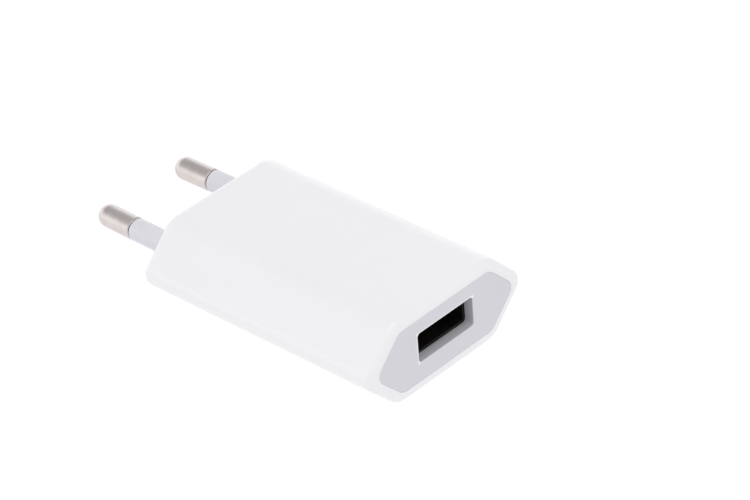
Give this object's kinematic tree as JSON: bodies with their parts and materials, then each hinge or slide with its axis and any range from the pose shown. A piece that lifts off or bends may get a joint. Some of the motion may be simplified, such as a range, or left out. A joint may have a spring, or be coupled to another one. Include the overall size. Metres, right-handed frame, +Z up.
{
  "type": "usb wall charger",
  "caption": "Slim white wall charger with a hexagonal housing, round mains pins on one end and a USB-A port on the other.",
  "frame": {"origin": "centre of the plug face, midway between the pins at their roots", "axes": "+Y out of the plug face along the pins, +Z up through the thickness, +X across the width; the USB port looks along -Y"},
  "size_m": [0.0364, 0.069, 0.0156],
  "materials": {
    "white_housing": "satin",
    "grey_white_cap": "satin",
    "pin_insulation": "satin",
    "nickel_plate": "polished",
    "receptacle_steel": "satin",
    "gold_plate": "satin",
    "black_plastic": "satin",
    "bracket_plastic": "matte",
    "board_laminate": "satin",
    "insulating_film": "satin",
    "capacitor_can": "satin",
    "polymer_can": "satin",
    "rubber_seal": "matte",
    "ferrite": "matte",
    "copper_wire": "satin",
    "yellow_tape": "satin",
    "blue_epoxy": "satin",
    "resistor_coat": "matte"
  },
  "bodies": {
    "charger": {"housing_sleeve": "white_housing", "end_cap": "grey_white_cap", "pin_carrier": "bracket_plastic", "pin_contact_left": "gold_plate", "pin_contact_right": "gold_plate", "circuit_board": "board_laminate", "insulating_tray": "insulating_film", "fusible_resistor": "resistor_coat", "bridge_rectifier": "black_plastic", "bulk_capacitor_left": "capacitor_can", "bulk_capacitor_right": "capacitor_can", "capacitor_seal_left": "rubber_seal", "capacitor_seal_right": "rubber_seal", "choke_core": "ferrite", "choke_winding": "copper_wire", "primary_controller": "black_plastic", "switching_transistor": "black_plastic", "core_half_front": "ferrite", "core_half_rear": "ferrite", "bobbin": "black_plastic", "primary_winding": "copper_wire", "secondary_winding": "yellow_tape", "core_tape": "yellow_tape", "y_capacitor": "blue_epoxy", "optocoupler": "black_plastic", "output_rectifier": "black_plastic", "output_capacitor_left": "polymer_can", "output_capacitor_right": "polymer_can", "port_controller": "black_plastic", "usb_shell": "receptacle_steel", "usb_insulator": "black_plastic", "usb_contact_tail_1": "gold_plate", "usb_contact_tail_2": "gold_plate", "usb_contact_tail_3": "gold_plate", "usb_contact_tail_4": "gold_plate"},
    "left_pin": {"plug_pin_left": "nickel_plate", "pin_sleeve_left": "pin_insulation"},
    "right_pin": {"plug_pin_right": "nickel_plate", "pin_sleeve_right": "pin_insulation"},
    "spring_top_left": {"shell_spring_top_left": "receptacle_steel"},
    "spring_top_right": {"shell_spring_top_right": "receptacle_steel"},
    "spring_bottom_left": {"shell_spring_bottom_left": "receptacle_steel"},
    "spring_bottom_right": {"shell_spring_bottom_right": "receptacle_steel"},
    "contact_1": {"usb_contact_beam_1": "gold_plate"},
    "contact_2": {"usb_contact_beam_2": "gold_plate"},
    "contact_3": {"usb_contact_beam_3": "gold_plate"},
    "contact_4": {"usb_contact_beam_4": "gold_plate"}
  },
  "joints": [
    {"name": "left_pin_flex", "type": "hinge", "parent": "charger", "child": "left_pin", "pos_m": [-0.0093, 0, 0], "axis": [0, 0, 1], "range_deg": [-0.5, 1.2], "stiffness_Nm_per_rad": 3},
    {"name": "right_pin_flex", "type": "hinge", "parent": "charger", "child": "right_pin", "pos_m": [0.0093, 0, 0], "axis": [0, 0, -1], "range_deg": [-0.5, 1.2], "stiffness_Nm_per_rad": 3},
    {"name": "spring_top_left_flex", "type": "hinge", "parent": "charger", "child": "spring_top_left", "pos_m": [-0.0032, -0.0455, 0.00316], "axis": [1, 0, 0], "range_deg": [0, 3], "stiffness_Nm_per_rad": 0.5},
    {"name": "spring_top_right_flex", "type": "hinge", "parent": "charger", "child": "spring_top_right", "pos_m": [0.0032, -0.0455, 0.00316], "axis": [1, 0, 0], "range_deg": [0, 3], "stiffness_Nm_per_rad": 0.5},
    {"name": "spring_bottom_left_flex", "type": "hinge", "parent": "charger", "child": "spring_bottom_left", "pos_m": [-0.0032, -0.0455, -0.00226], "axis": [-1, 0, 0], "range_deg": [0, 3], "stiffness_Nm_per_rad": 0.5},
    {"name": "spring_bottom_right_flex", "type": "hinge", "parent": "charger", "child": "spring_bottom_right", "pos_m": [0.0032, -0.0455, -0.00226], "axis": [-1, 0, 0], "range_deg": [0, 3], "stiffness_Nm_per_rad": 0.5},
    {"name": "contact_1_flex", "type": "hinge", "parent": "charger", "child": "contact_1", "pos_m": [-0.0035, -0.0374, 0.00105], "axis": [-1, 0, 0], "range_deg": [0, 5], "stiffness_Nm_per_rad": 0.04},
    {"name": "contact_2_flex", "type": "hinge", "parent": "charger", "child": "contact_2", "pos_m": [-0.001, -0.0374, 0.00105], "axis": [-1, 0, 0], "range_deg": [0, 5], "stiffness_Nm_per_rad": 0.04},
    {"name": "contact_3_flex", "type": "hinge", "parent": "charger", "child": "contact_3", "pos_m": [0.001, -0.0374, 0.00105], "axis": [-1, 0, 0], "range_deg": [0, 5], "stiffness_Nm_per_rad": 0.04},
    {"name": "contact_4_flex", "type": "hinge", "parent": "charger", "child": "contact_4", "pos_m": [0.0035, -0.0374, 0.00105], "axis": [-1, 0, 0], "range_deg": [0, 5], "stiffness_Nm_per_rad": 0.04}
  ]
}
